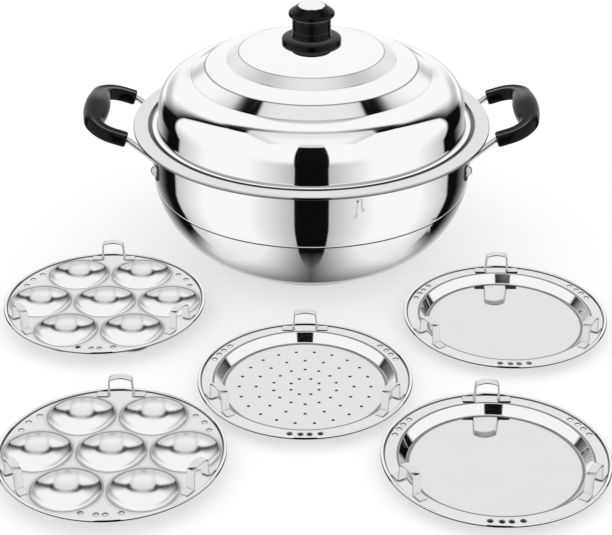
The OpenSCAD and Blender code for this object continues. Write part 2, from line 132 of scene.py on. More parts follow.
def add_rings(bm, outline, c=(0, 0), n=TURNS, closed=False):
    """Turns an outline about a vertical axis at c, into bm."""
    rings = []
    for r, z in outline:
        points = [(c[0], c[1], z)] if r < 1e-7 else circle(c, r, z, n)
        rings.append([bm.verts.new(p) for p in points])
    for a, b in zip(rings, rings[1:] + (rings[:1] if closed else [])):
        if len(a) == 1 and len(b) == 1:
            continue
        for k in range(n):
            j = (k + 1) % n
            corners = [a[k % len(a)], a[j % len(a)], b[j % len(b)], b[k % len(b)]]
            bm.faces.new(list(dict.fromkeys(corners)))


def add_flat(bm, z, c, r, n, holes):
    """Fills a flat disc of radius r round c, less its holes (centre, radius, points), into bm."""
    points, edges = [], []
    for middle, radius, count in [(c, r, n), *holes]:
        first = len(points)
        points += [Vector((x / MM, y / MM)) for x, y, _ in circle(middle, radius, z, count)]
        edges += [(first + k, first + (k + 1) % count) for k in range(count)]
    found, _, faces, *_ = delaunay_2d_cdt(points, edges, [], 0, 1e-6)
    verts = {}
    for face in faces:
        mid = sum((found[i] for i in face), Vector((0, 0))) * MM / len(face)
        inside = [radius * math.cos(math.pi / count) > (mid - Vector(middle)).length
                  for middle, radius, count in holes]
        if any(inside):
            continue
        for i in face:
            if i not in verts:
                verts[i] = bm.verts.new((found[i].x * MM, found[i].y * MM, z))
        bm.faces.new([verts[i] for i in face])


def to_object(name, bm, upward=False):
    """Welds and smooths what bm holds, and makes it an object."""
    bmesh.ops.remove_doubles(bm, verts=bm.verts, dist=2e-6)
    bmesh.ops.recalc_face_normals(bm, faces=bm.faces)
    if upward:
        bm.normal_update()
        if sum(f.normal.z * f.calc_area() for f in bm.faces) < 0:
            bmesh.ops.reverse_faces(bm, faces=bm.faces)
    mesh = bpy.data.meshes.new(name)
    bm.to_mesh(mesh)
    bm.free()
    mesh.shade_smooth()
    mesh.set_sharp_from_angle(angle=SHARP)
    obj = bpy.data.objects.new(name, mesh)
    bpy.context.scene.collection.objects.link(obj)
    return obj


def solid_turned(name, outline, n=TURNS):
    """A closed outline turned into a solid."""
    bm = bmesh.new()
    add_rings(bm, outline, n=n, closed=True)
    return to_object(name, bm)


def thickened(obj, t):
    """Gives an open sheet its thickness, below its upper side."""
    thick = obj.modifiers.new("thickness", "SOLIDIFY")
    thick.thickness = t
    thick.offset = -1
    thick.use_even_offset = True
    graph = bpy.context.evaluated_depsgraph_get()
    mesh = bpy.data.meshes.new_from_object(obj.evaluated_get(graph))
    obj.modifiers.clear()
    obj.data = mesh
    mesh.shade_smooth()
    mesh.set_sharp_from_angle(angle=SHARP)
    return obj


def frames_along(path, up):
    """Tangent, side and up at each point of a path, turned as little as possible."""
    out = []
    for i, p in enumerate(path):
        a, b = path[max(i - 1, 0)], path[min(i + 1, len(path) - 1)]
        t = (b - a).normalized()
        up = (up - t * up.dot(t)).normalized()
        out.append((t, up.cross(t), up))
    return out


def add_sweep(bm, path, up, section, caps=True):
    """Sweeps section(i), a list of (side, up) points, along a path, into bm."""
    rings = []
    for i, (p, (t, side, lift)) in enumerate(zip(path, frames_along(path, up))):
        rings.append([bm.verts.new(p + side * s + lift * u) for s, u in section(i)])
    for a, b in zip(rings, rings[1:]):
        for k in range(len(a)):
            j = (k + 1) % len(a)
            bm.faces.new([a[k], a[j], b[j], b[k]])
    if caps:
        bm.faces.new(rings[0])
        bm.faces.new(list(reversed(rings[-1])))
    return rings


def rounded_box(w, h, r, n=4):
    """Points of a rectangle w by h with its corners rounded."""
    out = []
    for cx, cy, a0 in [(1, 1, 0), (-1, 1, 90), (-1, -1, 180), (1, -1, 270)]:
        out += arc((cx * (w / 2 - r), cy * (h / 2 - r)), r, a0, a0 + 90, 90 / n)
    return out


# Materials

def node_maker(tree):
    """A function that adds nodes to a tree and fills their inputs in order."""
    def add(kind, *inputs, **settings):
        node = tree.nodes.new(kind)
        for key, value in settings.items():
            setattr(node, key, value)
        for socket, value in zip(node.inputs, inputs):
            if isinstance(value, bpy.types.NodeSocket):
                tree.links.new(value, socket)
            elif value is not None:
                socket.default_value = value
        return node
    return add


def new_material(name):
    """A material with its Principled shader, and a function that adds nodes to it."""
    mat = bpy.data.materials.new(name)
    mat.use_nodes = True
    return mat, mat.node_tree.nodes["Principled BSDF"], node_maker(mat.node_tree)


def maths(add, kind, *values):
    """The result of a Math node."""
    return add("ShaderNodeMath", *values, operation=kind).outputs[0]


def span(add, value, low, high):
    """Maps a 0 to 1 value onto low to high."""
    return add("ShaderNodeMapRange", value, 0.0, 1.0, low, high).outputs[0]


def soft(add, value, low, high, start, end):
    """Maps low to high onto start to end, with soft ends."""
    node = add("ShaderNodeMapRange", value, low, high, start, end, interpolation_type="SMOOTHSTEP")
    return node.outputs[0]


def tinted(mat, add, share, dark, light):
    """A colour between dark and light."""
    tint = add("ShaderNodeMix", data_type="RGBA")
    tint.inputs[6].default_value = (*dark, 1)
    tint.inputs[7].default_value = (*light, 1)
    mat.node_tree.links.new(share, tint.inputs[0])
    return tint.outputs[2]


def bumped(mat, shader, add, height, strength, depth):
    """Gives the shader a fine relief."""
    bump = add("ShaderNodeBump")
    bump.inputs["Strength"].default_value = strength
    bump.inputs["Distance"].default_value = depth
    mat.node_tree.links.new(height, bump.inputs["Height"])
    mat.node_tree.links.new(bump.outputs[0], shader.inputs["Normal"])


def round_axis(add, c):
    """Radius, turn and height about a vertical axis at c."""
    place = add("ShaderNodeTexCoord").outputs["Object"]
    local = add("ShaderNodeVectorMath", place, (c[0], c[1], 0.0), operation="SUBTRACT").outputs[0]
    x, y, z = add("ShaderNodeSeparateXYZ", local).outputs
    flat = add("ShaderNodeCombineXYZ", x, y, 0.0).outputs[0]
    radius = add("ShaderNodeVectorMath", flat, operation="LENGTH").outputs["Value"]
    return radius, maths(add, "ARCTAN2", y, x), z


def painted_ring_shade(add, radius, z, rings):
    """A factor of painted shade that is less than 1 near each ring (radius, height, near, far,
    depth).
    """
    shade = 1.0
    for r0, z0, near, far, depth in rings:
        outward, upward = maths(add, "SUBTRACT", radius, r0), maths(add, "SUBTRACT", z, z0)
        off = add("ShaderNodeCombineXYZ", outward, upward, 0.0).outputs[0]
        away = add("ShaderNodeVectorMath", off, operation="LENGTH").outputs["Value"]
        shade = maths(add, "MULTIPLY", shade, soft(add, away, near, far, 1.0 - depth, 1.0))
    return shade


def nearest_axis(add, places):
    """Distance from the nearest of some vertical axes."""
    nearest = 1.0
    for c in places:
        nearest = maths(add, "MINIMUM", nearest, round_axis(add, c)[0])
    return nearest


LATHE_GRAIN = 1600.0
LATHE_DRIFT = 2.5
CLOUD_GRAIN = 28.0
CLOUD_DIM = 0.97
PIP_EDGE = 0.9 * MM
SATIN_EDGE = 0.8 * MM
MARK_DEPTH = 0.02 * MM


def polished(name, c, colour, low, high, grain, rings=(), painted_grey_levels=(), satin=None, cups=(),
             cup_rings=(), cup_satin=0.0, pips=(), painted_corner_shade=False):
    """Polished metal, rough from low to high, with faint marks that run round the axis at c.

    rings are creases, gaps and edges where the colour is darkened as painted shade, cup_rings the
    same round each of the cups. levels (height, near, far, factor) are heights painted greyer, as
    painted reflection, and satin (radius, radius, roughness) is a brushed band on the lid.
    cup_satin is the roughness that the cups have more, pips are small holes with painted shade
    round their edge, and tight darkens the narrow corners with painted shade.
    """
    mat, shader, add = new_material(name)
    shader.inputs["Metallic"].default_value = 1.0
    radius, turn, z = round_axis(add, c)
    across = maths(add, "MULTIPLY", radius, LATHE_GRAIN)
    slow = maths(add, "MULTIPLY", turn, LATHE_DRIFT)
    level = maths(add, "MULTIPLY", z, LATHE_GRAIN)
    lathe = add("ShaderNodeCombineXYZ", across, slow, level).outputs[0]
    marks = add("ShaderNodeTexNoise", lathe, None, 1.0, 3.0).outputs[0]
    place = add("ShaderNodeTexCoord").outputs["Object"]
    cloud = add("ShaderNodeTexNoise", place, None, CLOUD_GRAIN, 4.0).outputs[0]
    links = mat.node_tree.links
    tint = tinted(mat, add, cloud, [v * CLOUD_DIM for v in colour], colour)
    # Painted shade: the colour is darkened at the rings, round the vents, at the levels and in the
    # narrow corners
    shade = painted_ring_shade(add, radius, z, rings)
    if pips:
        rim = soft(add, nearest_axis(add, pips), VENT_R, VENT_R + PIP_EDGE, 0.25, 1.0)
        shade = maths(add, "MULTIPLY", shade, rim)
    if cups:
        nearest = nearest_axis(add, cups)
        shade = maths(add, "MULTIPLY", shade, painted_ring_shade(add, nearest, z, cup_rings))
    for height, at, end, factor in painted_grey_levels:
        off = maths(add, "ABSOLUTE", maths(add, "SUBTRACT", z, height))
        shade = maths(add, "MULTIPLY", shade, soft(add, off, at, end, factor, 1.0))
    if painted_corner_shade:
        close = add("ShaderNodeAmbientOcclusion", None, 3 * MM, samples=8).outputs["AO"]
        shade = maths(add, "MULTIPLY", shade, soft(add, close, 0.25, 0.9, 0.06, 1.0))
    shaded = add("ShaderNodeVectorMath", tint, operation="SCALE")
    if isinstance(shade, float):
        shaded.inputs["Scale"].default_value = shade
    else:
        links.new(shade, shaded.inputs["Scale"])
    links.new(shaded.outputs[0], shader.inputs["Base Color"])
    rough = span(add, marks, low, high)
    if cups:
        inside = soft(add, nearest, CAVITY_R - 2 * MM, CAVITY_R, cup_satin, 0.0)
        rough = maths(add, "ADD", rough, inside)
    if satin:
        inner, outer, more = satin
        band = maths(add, "MULTIPLY", soft(add, radius, inner, inner + SATIN_EDGE, 0.0, more),
                     soft(add, radius, outer - SATIN_EDGE, outer, 1.0, 0.0))
        on_lid = maths(add, "GREATER_THAN", z, POT_TOP + 10 * MM)
        rough = maths(add, "ADD", rough, maths(add, "MULTIPLY", band, on_lid))
    links.new(rough, shader.inputs["Roughness"])
    bumped(mat, shader, add, marks, grain, MARK_DEPTH)
    return mat


def bakelite():
    """Moulded black plastic: nearly smooth, with a fine skin and soft wear in its gloss."""
    mat, shader, add = new_material("bakelite")
    links = mat.node_tree.links
    place = add("ShaderNodeTexCoord").outputs["Object"]
    skin = add("ShaderNodeTexNoise", place, None, 900.0, 3.0).outputs[0]
    cloud = add("ShaderNodeTexNoise", place, None, 45.0, 3.0).outputs[0]
    tint = tinted(mat, add, cloud, (0.0012, 0.0012, 0.0015), (0.003, 0.003, 0.0035))
    links.new(tint, shader.inputs["Base Color"])
    shader.inputs["Specular IOR Level"].default_value = 0.14
    links.new(span(add, cloud, 0.16, 0.26), shader.inputs["Roughness"])
    bumped(mat, shader, add, skin, 0.25, 0.06 * MM)
    return mat


def finish(obj, body, slot, mat, *nodes, reflected=False):
    """Gives a piece its material and body, and the nodes that it stands for.

    In the photo, each piece was taken alone, so most aren't reflected in the others. The slot is
    not used.
    """
    obj.data.materials.clear()
    obj.data.materials.append(mat)
    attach(obj, body)
    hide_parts(*nodes)
    obj.visible_glossy = reflected
    return obj


# Colours, and the materials that need no sizes

STEEL = (0.95, 0.95, 0.95)
PLATE_STEEL = (0.92, 0.92, 0.92)
ROD_STEEL = (0.62, 0.62, 0.63)
LOOP_STEEL = (0.74, 0.74, 0.74)
mats = {
    "rivet_steel": polished("rivet_steel", (0, 0), ROD_STEEL, 0.08, 0.16, 0.1),
    # The loops' narrow corners are darkened as painted shade
    "loop_steel": polished("loop_steel", (0, 0), LOOP_STEEL, 0.05, 0.12, 0.1, painted_corner_shade=True),
    "disc_steel": polished("disc_steel", (0, 0), PLATE_STEEL, 0.16, 0.3, 0.5),
    "aluminium_core": polished("aluminium_core", (0, 0), (0.78, 0.79, 0.8), 0.3, 0.45, 0.4),
    "brass": polished("brass", (0, 0), (0.75, 0.55, 0.26), 0.2, 0.35, 0.3),
    "bakelite": bakelite(),
}

# Pot

POT_SHEET = 1 * MM
CAP_SHEET = 0.8 * MM
CORE_H = 4 * MM
WALL_R = 153.5 * MM
STRAIGHT_H = 38.1 * MM
BASE_R = 61.6 * MM
UPPER_TURN = 20.5
BRIM_R = 170 * MM
BRIM_BEAD = 1.6 * MM
SEAT_R = 155.5 * MM
SEAT_DEPTH = 3 * MM
curve_h = POT_TOP - STRAIGHT_H
turn_sin, turn_cos = math.sin(math.radians(UPPER_TURN)), math.cos(math.radians(UPPER_TURN))
arc_diff = (BASE_R + curve_h - WALL_R) / (turn_sin + turn_cos - 1)
LOWER_R = curve_h - arc_diff * turn_sin
UPPER_R = LOWER_R + arc_diff
upper_c = (WALL_R - UPPER_R, curve_h)
lower_c = (BASE_R, LOWER_R)


def fall(c, r, z):
    """Degrees below the level of c at which a circle round it reaches the height z."""
    return math.degrees(math.asin(min(1, (c[1] - z) / r)))


def bowl(off, z1, z0):
    """The bowl's outline moved out by off, from height z1 down to z0."""
    ru, rl = UPPER_R + off, LOWER_R + off
    line = [(WALL_R + off, z1)] if z1 > upper_c[1] else []
    start_upper = 0 if z1 > upper_c[1] else fall(upper_c, ru, z1)
    start_lower = UPPER_TURN
    if z1 > upper_c[1] - ru * turn_sin:
        line += arc(upper_c, ru, -start_upper, -UPPER_TURN, 3)[:-1]
    else:
        start_lower = fall(lower_c, rl, z1)
    return line + arc(lower_c, rl, -start_lower, -fall(lower_c, rl, z0), 3)


def pot_skin():
    """The pot's bowl, the seat for its lid, its brim and its rolled edge."""
    floor_z = CAP_SHEET + CORE_H
    seat_z = POT_TOP - SEAT_DEPTH
    bead_c = (BRIM_R - BRIM_BEAD, POT_TOP - BRIM_BEAD)
    outside = bowl(-CAP_SHEET, seat_z - POT_SHEET - 2 * MM, floor_z)[::-1]
    under = rounded([
        (*outside[-1], 0),
        (WALL_R - CAP_SHEET, seat_z - POT_SHEET, 1.2 * MM),
        (SEAT_R + POT_SHEET, seat_z - POT_SHEET, 0.8 * MM),
        (SEAT_R + POT_SHEET, POT_TOP - POT_SHEET, 1.2 * MM),
        (bead_c[0] - 1.5 * MM, POT_TOP - POT_SHEET, 0),
    ])[1:]
    over = rounded([
        (bead_c[0] - 1.5 * MM, POT_TOP - 0.3 * MM, 0),
        (SEAT_R, POT_TOP - 0.3 * MM, 0.9 * MM),
        (SEAT_R, seat_z, 0.8 * MM),
        (WALL_R - CAP_SHEET - POT_SHEET, seat_z, 0.8 * MM),
        (WALL_R - CAP_SHEET - POT_SHEET, seat_z - 3 * MM, 0),
    ])
    inside = bowl(-CAP_SHEET - POT_SHEET, seat_z - 4 * MM, floor_z + POT_SHEET)
    bead = arc(bead_c, BRIM_BEAD, -130, 110, 12)
    outline = [(0, floor_z), *outside, *under, *bead, *over, *inside, (0, floor_z + POT_SHEET)]
    piece = solid_turned("pot_shell_skin", outline)
    return finish(piece, "pot", "polished_steel", mats["polished_steel"], "pot_shell")


def base_skin():
    """The base's outer cap, with the small step at its upper edge."""
    lip = 0.3 * MM
    outside = bowl(0, SEAM_Z - lip, 0)
    edge = [(outside[0][0] - lip, SEAM_Z)]
    inside = bowl(-CAP_SHEET, SEAM_Z, CAP_SHEET)[::-1]
    outline = edge + outside + [(0, 0), (0, CAP_SHEET)] + inside
    piece = solid_turned("base_cap_skin", outline)
    return finish(piece, "pot", "polished_steel", mats["polished_steel"], "base_cap")


# Lid

LID_SHEET = 1 * MM
LID_WALL_R = 145.7 * MM
SHOULDER_R = 30 * MM
SHOULDER_FROM = 80
FLANGE_R = 153.7 * MM
FLANGE_BEAD = 1.2 * MM
FLANGE_FILLET = 3 * MM
SCREW_HOLE = 2.6 * MM
TOP_EDGE = (68.5 * MM, LID_TOP)
STEP1_FOOT = (79.5 * MM, LID_TOP - 7.7 * MM)
STEP2_EDGE = (100.5 * MM, STEP1_FOOT[1] - 5.4 * MM)
STEP2_FOOT = (113.6 * MM, STEP2_EDGE[1] - 8.9 * MM)
shoulder_c = (LID_WALL_R - SHOULDER_R,
              LID_TOP - 25.2 * MM - SHOULDER_R * math.sin(math.radians(SHOULDER_FROM)))
flange_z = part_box("lid_shell")[0].z + LID_SHEET

# Steel of the pot and the lid, darkened at its rings as painted shade; a ring is (radius, height,
# near, far, depth), as in painted_ring_shade
LID_GAP_R = 154.1 * MM
seam_line = bowl(0, SEAM_Z - 0.9 * MM, 0)[0]
# The lid's painted shade: its steps' edges and feet, the foot of its wall and the gap round its
# flange
lid_painted_shade_rings = [
    (*TOP_EDGE, 0.2 * MM, 1.1 * MM, 0.55), (*STEP1_FOOT, 0.1 * MM, 1 * MM, 0.15),
    (*STEP2_EDGE, 0.3 * MM, 1.3 * MM, 0.65), (*STEP2_FOOT, 0.1 * MM, 1 * MM, 0.2),
    (LID_WALL_R + 1 * MM, flange_z + 1 * MM, 0.5 * MM, 2 * MM, 0.5),
    (LID_GAP_R, POT_TOP - 1.4 * MM, 1.7 * MM, 3 * MM, 0.94),
]
# The pot's painted shade: beside and under the brim's bead, at the seam and at the bottom edge
pot_painted_shade_rings = [
    (BRIM_R, POT_TOP - 2.2 * MM, 0.8 * MM, 2.4 * MM, 0.8),
    (BRIM_R - 1.6 * MM, POT_TOP - 3.3 * MM, 0.4 * MM, 1.6 * MM, 0.85),
    (*seam_line, 0.35 * MM, 1.1 * MM, 0.9), (BASE_R, 0, 1.5 * MM, 6 * MM, 0.6),
]
# The brim's flat top is painted greyer, as painted reflection
mats["polished_steel"] = polished(
    "polished_steel", (0, 0), STEEL, 0.02, 0.06, 0.1, rings=lid_painted_shade_rings + pot_painted_shade_rings,
    satin=(TOP_EDGE[0], STEP1_FOOT[0], 0.34),
    painted_grey_levels=[(POT_TOP - 0.3 * MM, 0.2 * MM, 0.8 * MM, 0.8)])


def lid_skin():
    """The lid, from the hole for its screw down to the bead of its flange."""
    crease, valley = 1.6 * MM, 1.2 * MM
    steps = rounded([
        (SCREW_HOLE, LID_TOP, 0), (*TOP_EDGE, crease), (*STEP1_FOOT, valley),
        (*STEP2_EDGE, crease), (*STEP2_FOOT, valley),
        (*arc(shoulder_c, SHOULDER_R, SHOULDER_FROM, 0)[0], 0),
    ])
    wall_end = (LID_WALL_R + FLANGE_FILLET, flange_z + FLANGE_FILLET)
    bead_c = (FLANGE_R - FLANGE_BEAD, flange_z - LID_SHEET + FLANGE_BEAD)
    top = steps + arc(shoulder_c, SHOULDER_R, SHOULDER_FROM, 0, 3)[1:]
    top += arc(wall_end, FLANGE_FILLET, 180, 270, 15)
    bead = arc(bead_c, FLANGE_BEAD, 200, -90, 15)
    outline = top + bead + moved(top, LID_SHEET)[::-1]
    piece = solid_turned("lid_skin", outline)
    return finish(piece, "lid", "polished_steel", mats["polished_steel"], "lid_shell")


# Knob

def knob_skins():
    """The knob's finger guard, its body with two grooves and a cap, and the steel disc."""
    groove = 1.4 * MM
    guard_r = 27.8 * MM
    lip_z = LID_TOP + 7 * MM
    bore = 5.1 * MM
    lower = rounded([
        (bore, LID_TOP, 0), (19 * MM, LID_TOP, 0.6 * MM), (19 * MM, LID_TOP + 2 * MM, 0.6 * MM),
        (17 * MM, LID_TOP + 2 * MM, 0.4 * MM), (17 * MM, lip_z, 0.4 * MM),
        (guard_r, lip_z, 0.5 * MM), (guard_r, KNOB_SPLIT_Z - groove / 2, 0.4 * MM),
        (guard_r - groove, KNOB_SPLIT_Z - groove / 2, 0.2 * MM),
        (guard_r - groove, KNOB_SPLIT_Z, 0), (bore, KNOB_SPLIT_Z, 0),
    ])
    guard = solid_turned("knob_guard_skin", lower, 128)
    finish(guard, "lid", "bakelite", mats["bakelite"], "knob_guard")
    top_z = KNOB_SPLIT_Z + 7 * MM
    cap_z = KNOB_TOP - 11.4 * MM
    ring_z = top_z + 5.5 * MM
    upper = rounded([
        (bore, KNOB_SPLIT_Z, 0), (guard_r - groove, KNOB_SPLIT_Z, 0),
        (guard_r - groove, KNOB_SPLIT_Z + groove / 2, 0.2 * MM),
        (guard_r, KNOB_SPLIT_Z + groove / 2, 0.4 * MM),
        (guard_r, top_z - 1.2 * MM, 1.8 * MM), (guard_r - 4 * MM, top_z, 1.5 * MM),
        (18.4 * MM, top_z + 0.2 * MM, 1.2 * MM),
        (18 * MM, ring_z, 0.25 * MM), (17.2 * MM, ring_z + 0.6 * MM, 0.2 * MM),
        (18 * MM, ring_z + 1.2 * MM, 0.25 * MM),
        (18 * MM, cap_z - 2.2 * MM, 0.25 * MM), (17.3 * MM, cap_z - 1.7 * MM, 0.2 * MM),
        (18 * MM, cap_z - 1.2 * MM, 0.25 * MM), (18.2 * MM, cap_z + 0.3 * MM, 0.5 * MM),
        (21.8 * MM, cap_z + 2.4 * MM, 2 * MM), (21.2 * MM, cap_z + 5.6 * MM, 2.4 * MM),
        (13.3 * MM, KNOB_TOP, 0.4 * MM), (12.7 * MM, KNOB_TOP - 0.1 * MM, 0.2 * MM),
        (12.6 * MM, KNOB_TOP - 0.8 * MM, 0), (0, KNOB_TOP - 0.8 * MM, 0),
        (0, KNOB_SPLIT_Z + 14 * MM, 0), (bore, KNOB_SPLIT_Z + 14 * MM, 0),
    ])
    body = solid_turned("knob_body_skin", upper, 128)
    finish(body, "lid", "bakelite", mats["bakelite"], "knob_body")
    disc_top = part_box("knob_disc")[1].z
    disc_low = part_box("knob_disc")[0].z
    face = rounded([
        (0, disc_low, 0), (12.5 * MM, disc_low, 0), (12.5 * MM, disc_top - 0.1 * MM, 0.5 * MM),
        (11.2 * MM, disc_top, 0.6 * MM), (10.6 * MM, disc_top - 0.25 * MM, 0.5 * MM),
        (0, disc_top - 0.35 * MM, 0),
    ])
    disc = solid_turned("knob_disc_skin", face, 128)
    finish(disc, "lid", "disc_steel", mats["disc_steel"], "knob_disc")


# Handles

LEG_Y = 50 * MM
BEND_X = 170.5 * MM
TILT = math.radians(18)
BAR_U = 36 * MM
GRIP_CORNER_R = 22 * MM
GRIP_FROM = 2 * MM
GRIP_ENDS = 2.6 * MM
END_STEPS = (1, 0.6, 0.3, 0.1, 0)
ROD_R = 2.8 * MM
PAD_W, PAD_H, PAD_T = 15 * MM, 21 * MM, 2.5 * MM
PAD_Z = POT_TOP - 31 * MM
OUTER_WALL = WALL_R - CAP_SHEET
# The pads, and the rod at their heights, are painted near black as painted shade
mats["rod_steel"] = polished("rod_steel", (0, 0), ROD_STEEL, 0.08, 0.16, 0.1,
                             painted_grey_levels=[(PAD_Z, PAD_H / 2 - 3 * MM, PAD_H / 2, 0.12)])
pad_turn = math.asin(LEG_Y / (OUTER_WALL + PAD_T / 2))
out_dir = Vector((math.cos(TILT), 0, math.sin(TILT)))
lift_dir = Vector((-math.sin(TILT), 0, math.cos(TILT)))
bend_at = Vector((BEND_X, 0, POT_TOP))


def in_grip(u, y):
    """A point in the plane of the right grip."""
    return bend_at + out_dir * u + Vector((0, y, 0))


def half_u(u_end, step=6):
    """Half of the handle's U, from the middle of its bar to u_end on the +Y leg."""
    corner = arc((BAR_U - GRIP_CORNER_R, LEG_Y - GRIP_CORNER_R), GRIP_CORNER_R, 0, 90, step)
    bar = [(BAR_U, (LEG_Y - GRIP_CORNER_R) * k / 4) for k in range(4)]
    leg_from = BAR_U - GRIP_CORNER_R
    leg = [(leg_from + (u_end - leg_from) * k / 8, LEG_Y) for k in range(1, 9)]
    return [in_grip(u, y) for u, y in bar + corner + leg]


def mirrored(bm, plane):
    """Adds the mirror image of all that bm holds, across a plane through the origin."""
    copy = bmesh.ops.duplicate(bm, geom=bm.verts[:] + bm.edges[:] + bm.faces[:])
    flipped = [v for v in copy["geom"] if isinstance(v, bmesh.types.BMVert)]
    for v in flipped:
        v.co -= 2 * v.co.dot(plane) * plane
    faces = [f for f in copy["geom"] if isinstance(f, bmesh.types.BMFace)]
    bmesh.ops.reverse_faces(bm, faces=faces)


def sided(bm, side):
    """Mirrors a right piece if side is -1, and says which side it is on."""
    if side < 0:
        for v in bm.verts:
            v.co.x = -v.co.x
    return "right" if side > 0 else "left"


def grip_section(share, u, points=48):
    """Section of the grip: share is 0 at the middle of the bar and 1 at the end of a leg."""
    swell = 0.5 + 0.5 * math.cos(math.pi * min(1, share / 0.62))
    across = (7.6 + 4.6 * swell) * MM
    height = (6.9 + 3.9 * swell) * MM
    end = min(1, max(0, (u - GRIP_FROM) / GRIP_ENDS))
    shrink = 1 - 0.24 * (1 - math.sqrt(1 - (1 - end) ** 2))
    flute = 1.7 * MM * (1 - swell) ** 0.5 * (0.4 + 0.6 * end)
    out = []
    for k in range(points):
        a = 2 * math.pi * k / points
        c, s = math.cos(a), math.sin(a)
        power = 2 / 2.7
        x = across * math.copysign(abs(c) ** power, c)
        z = height * math.copysign(abs(s) ** power, s)
        dip = flute * math.exp(-((c + 0.12) / 0.34) ** 2) * abs(s)
        z -= math.copysign(dip, s)
        out.append((x * shrink, z * shrink))
    return out


def grip_skin(side):
    """A grip, swept along half of its U and mirrored."""
    bm = bmesh.new()
    path = half_u(GRIP_FROM, 5)
    lengths = [0]
    for a, b in zip(path, path[1:]):
        lengths.append(lengths[-1] + (b - a).length)
    path = path[:-1] + [path[-1] + out_dir * d * GRIP_ENDS for d in END_STEPS]
    lengths = lengths[:-1] + [lengths[-1] - d * GRIP_ENDS for d in END_STEPS]

    def section(i):
        u = (path[i] - bend_at).dot(out_dir)
        return grip_section(lengths[i] / lengths[-1], u)

    rings = add_sweep(bm, path, lift_dir, section, caps=False)
    bm.faces.new(rings[-1])
    mirrored(bm, Vector((0, 1, 0)))
    name = sided(bm, side)
    piece = to_object(f"{name}_grip_skin", bm)
    return finish(piece, "pot", "bakelite", mats["bakelite"], f"{name}_grip")


def rod_skin(side):
    """A handle's rod, round in its grip and flattened into a pad at each end, against the wall."""
    bm = bmesh.new()
    stub_x = (OUTER_WALL + 0.5 * MM + ROD_R) * math.cos(pad_turn)
    pad_x = (OUTER_WALL + PAD_T / 2) * math.cos(pad_turn)
    leg = rounded([
        (in_grip(4 * MM, 0).x, in_grip(4 * MM, 0).z, 0), (BEND_X, POT_TOP, 5 * MM),
        (stub_x, PAD_Z + PAD_H / 2 + 1 * MM, 7 * MM), (pad_x, PAD_Z + 4 * MM, 10 * MM),
        (pad_x, PAD_Z, 0),
    ], 6)
    low = PAD_Z - PAD_H / 2
    drop = [(pad_x, PAD_Z + (low - PAD_Z) * k / 10) for k in range(1, 8)]
    drop += [(pad_x, low + d * MM) for d in (2.2, 1.5, 0.9, 0.4, 0.1, 0)]
    path = half_u(5 * MM) + [Vector((x, LEG_Y, z)) for x, z in leg + drop]

    def section(i):
        p = path[i]
        flat = min(1, max(0, (PAD_Z + PAD_H / 2 + 4 * MM - p.z) / (9 * MM)))
        flat = flat * flat * (3 - 2 * flat)
        half_w = ROD_R + (PAD_W / 2 - ROD_R) * flat
        half_t = ROD_R + (PAD_T / 2 - ROD_R) * flat
        below = (low + PAD_W / 2 - p.z) / (PAD_W / 2)
        if below > 0:
            half_w *= math.sqrt(max(0.02, 1 - below ** 2))
        power = 1 - 0.5 * flat
        twist = -pad_turn * flat
        cos_t, sin_t = math.cos(twist), math.sin(twist)
        out = []
        for k in range(24):
            a = 2 * math.pi * k / 24
            c, s = math.cos(a), math.sin(a)
            x = half_w * math.copysign(abs(c) ** power, c)
            z = half_t * math.copysign(abs(s) ** power, s)
            out.append((x * cos_t - z * sin_t, x * sin_t + z * cos_t))
        return out

    rings = add_sweep(bm, path, lift_dir, section, caps=False)
    bm.faces.new(rings[-1])
    mirrored(bm, Vector((0, 1, 0)))
    name = sided(bm, side)
    piece = to_object(f"{name}_rod_skin", bm)
    return finish(piece, "pot", "rod_steel", mats["rod_steel"], f"{name}_handle_rod")


def rivet_skins(side):
    """The two rivets of a handle: domed heads on the pads, shanks and flatter tails inside."""
    head_r, head_h, shank_r = 5.7 * MM, 4.2 * MM, 2.5 * MM
    tail_h = 1.6 * MM
    face = OUTER_WALL + PAD_T
    tail_z = OUTER_WALL - POT_SHEET - 0.3 * MM
    dome_r = (head_r ** 2 + head_h ** 2) / (2 * head_h)
    dome_deg = math.degrees(math.asin(min(1, head_r / dome_r)))
    head = arc((0, face + head_h - dome_r), dome_r, 90, 92 - dome_deg, 8)
    tail_r = (head_r ** 2 + tail_h ** 2) / (2 * tail_h)
    tail_deg = math.degrees(math.asin(min(1, head_r / tail_r)))
    tail = arc((0, tail_z - tail_h + tail_r), tail_r, -90 + tail_deg, -90, 8)
    shank = [(head_r, face), (shank_r, face), (shank_r, tail_z), (head_r, tail_z)]
    bm = bmesh.new()
    for s in (-1, 1):
        one = bmesh.new()
        add_rings(one, head + shank + tail, n=48, closed=True)
        turn = Matrix.Rotation(s * pad_turn, 4, "Z") @ Matrix.Translation((0, 0, PAD_Z))
        turn @= Matrix.Rotation(math.pi / 2, 4, "Y")
        one.transform(turn)
        mesh = bpy.data.meshes.new("rivet")
        one.to_mesh(mesh)
        one.free()
        bm.from_mesh(mesh)
        bpy.data.meshes.remove(mesh)
    name = sided(bm, side)
    piece = to_object(f"{name}_rivet_skin", bm)
    return finish(piece, "pot", "rod_steel", mats["rivet_steel"], f"{name}_rivets")


# Plates

